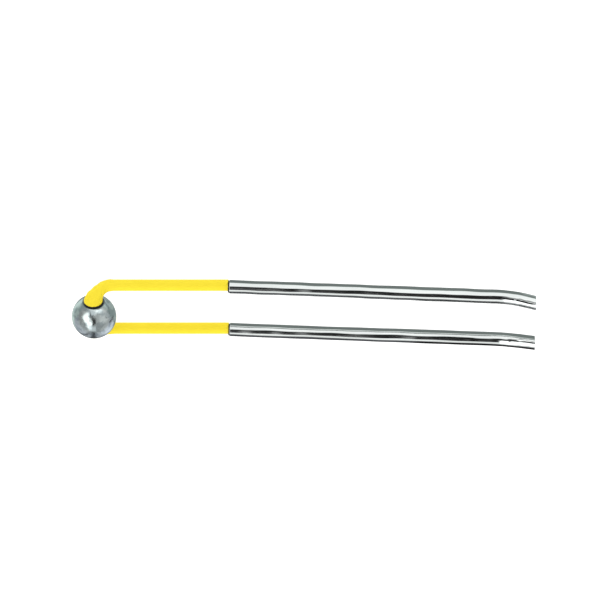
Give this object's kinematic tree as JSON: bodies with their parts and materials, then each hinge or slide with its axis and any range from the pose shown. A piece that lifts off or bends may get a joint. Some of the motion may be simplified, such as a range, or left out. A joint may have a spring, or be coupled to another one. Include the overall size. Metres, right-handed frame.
{
  "type": "roller ball electrode fork",
  "caption": "Metal ball turning on an axle between two yellow insulated arms, each in a long steel tube with a slightly bent end.",
  "frame": {"origin": "middle of the underside of the whole fork: the ball's lowest point sets Z = 0, and the ball stands out further above the arms than below them", "axes": "+X along the arms from the ball to the cut tube ends, +Y across the arms along the ball's axle, +Z to the side that the ball stands out to"},
  "size_m": [0.052, 0.008, 0.005],
  "materials": {
    "ball_steel": "tumbled satin",
    "tube_steel": "drawn, bright",
    "sleeve_yellow": "smooth",
    "washer_dark": "matt",
    "seal_dark": "matt",
    "bush_dark": "matt",
    "liner_white": "waxy",
    "wire_metal": "drawn"
  },
  "bodies": {
    "fork": {"axle_pin": "wire_metal", "right_spacer_washer": "washer_dark", "left_spacer_washer": "washer_dark", "right_insulating_sleeve": "sleeve_yellow", "left_insulating_sleeve": "sleeve_yellow", "right_seal_ring": "seal_dark", "left_seal_ring": "seal_dark", "right_fork_tube": "tube_steel", "left_fork_tube": "tube_steel", "right_tube_liner": "liner_white", "left_tube_liner": "liner_white", "right_lead_wire": "wire_metal", "left_lead_wire": "wire_metal", "right_end_bush": "bush_dark", "left_end_bush": "bush_dark"},
    "roller": {"roller_ball": "ball_steel"}
  },
  "joints": [
    {"name": "roller_spin", "type": "hinge", "parent": "fork", "child": "roller", "pos_m": [-0.0235, 0, 0.0025], "axis": [0, 1, 0], "continuous": true}
  ]
}
